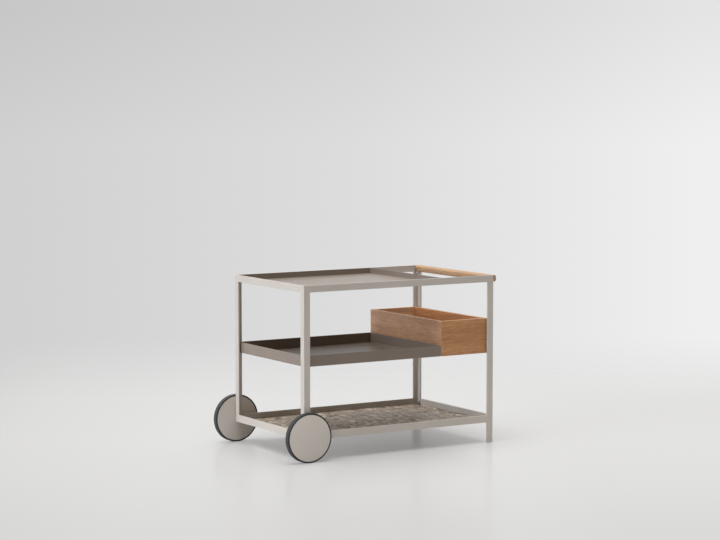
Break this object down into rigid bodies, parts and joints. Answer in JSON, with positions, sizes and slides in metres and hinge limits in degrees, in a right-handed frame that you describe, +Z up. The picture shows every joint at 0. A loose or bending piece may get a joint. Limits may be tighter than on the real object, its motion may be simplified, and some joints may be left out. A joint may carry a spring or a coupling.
{
  "type": "cheese trolley",
  "caption": "Serving trolley: angle frame on wheels and feet, lift-out top tray, middle tray, lift-out teak bottle box, stone shelf and teak handle bar.",
  "frame": {"origin": "on the floor, under the middle of the whole trolley's box", "axes": "+X towards the handle, -Y the front, +Z up"},
  "size_m": [0.942, 0.587, 0.654],
  "materials": {
    "frame_paint": "matte powder coat, warm light beige",
    "tray_paint": "matte powder coat, brown grey",
    "teak": "oiled teak, straight grain",
    "stone": "honed terrazzo with beige, brown and grey chips",
    "steel": "satin",
    "tyre": "matte rubber",
    "nylon": "moulded",
    "foot_nylon": "moulded, pale"
  },
  "bodies": {
    "frame": {"leg_front_left": "frame_paint", "leg_rear_left": "frame_paint", "leg_front_right": "frame_paint", "leg_rear_right": "frame_paint", "top_rail_front": "frame_paint", "top_rail_rear": "frame_paint", "top_rail_left": "frame_paint", "top_cross_bar": "frame_paint", "lower_rail_front": "frame_paint", "lower_rail_rear": "frame_paint", "lower_rail_left": "frame_paint", "lower_rail_right": "frame_paint", "shelf_bars": "frame_paint", "handle_plates": "frame_paint", "axle_boss_front": "frame_paint", "axle_boss_rear": "frame_paint", "middle_tray": "tray_paint", "handle_bar": "teak", "stone_panel": "stone", "handle_screws": "steel", "tray_screws_left": "steel", "tray_screws_right": "steel", "axle_bolt_front": "steel", "axle_bolt_rear": "steel", "axle_spacer_front": "steel", "axle_spacer_rear": "steel", "bearing_sleeve_front": "steel", "bearing_sleeve_rear": "steel", "tray_spacers": "nylon", "foot_front": "foot_nylon", "foot_rear": "foot_nylon"},
    "wheel_front": {"wheel_core_front": "nylon", "wheel_cover_outer_front": "frame_paint", "wheel_cover_inner_front": "frame_paint", "tyre_front": "tyre", "bearings_front": "steel"},
    "wheel_rear": {"wheel_core_rear": "nylon", "wheel_cover_outer_rear": "frame_paint", "wheel_cover_inner_rear": "frame_paint", "tyre_rear": "tyre", "bearings_rear": "steel"},
    "top_tray": {"top_tray": "tray_paint"},
    "bottle_box": {"box_board_front": "teak", "box_board_rear": "teak", "box_board_left": "teak", "box_board_right": "teak", "box_bottom": "teak"}
  },
  "joints": [
    {"name": "wheel_front_spin", "type": "hinge", "parent": "frame", "child": "wheel_front", "pos_m": [-0.3785, -0.28225, 0.0925], "axis": [0, 1, 0], "continuous": true},
    {"name": "wheel_rear_spin", "type": "hinge", "parent": "frame", "child": "wheel_rear", "pos_m": [-0.3785, 0.28225, 0.0925], "axis": [0, 1, 0], "continuous": true},
    {"name": "top_tray_lift", "type": "slide", "parent": "frame", "child": "top_tray", "axis": [0, 0, 1], "range_m": [0, 0.06]},
    {"name": "bottle_box_lift", "type": "slide", "parent": "frame", "child": "bottle_box", "axis": [0, 0, 1], "range_m": [0, 0.32]}
  ]
}
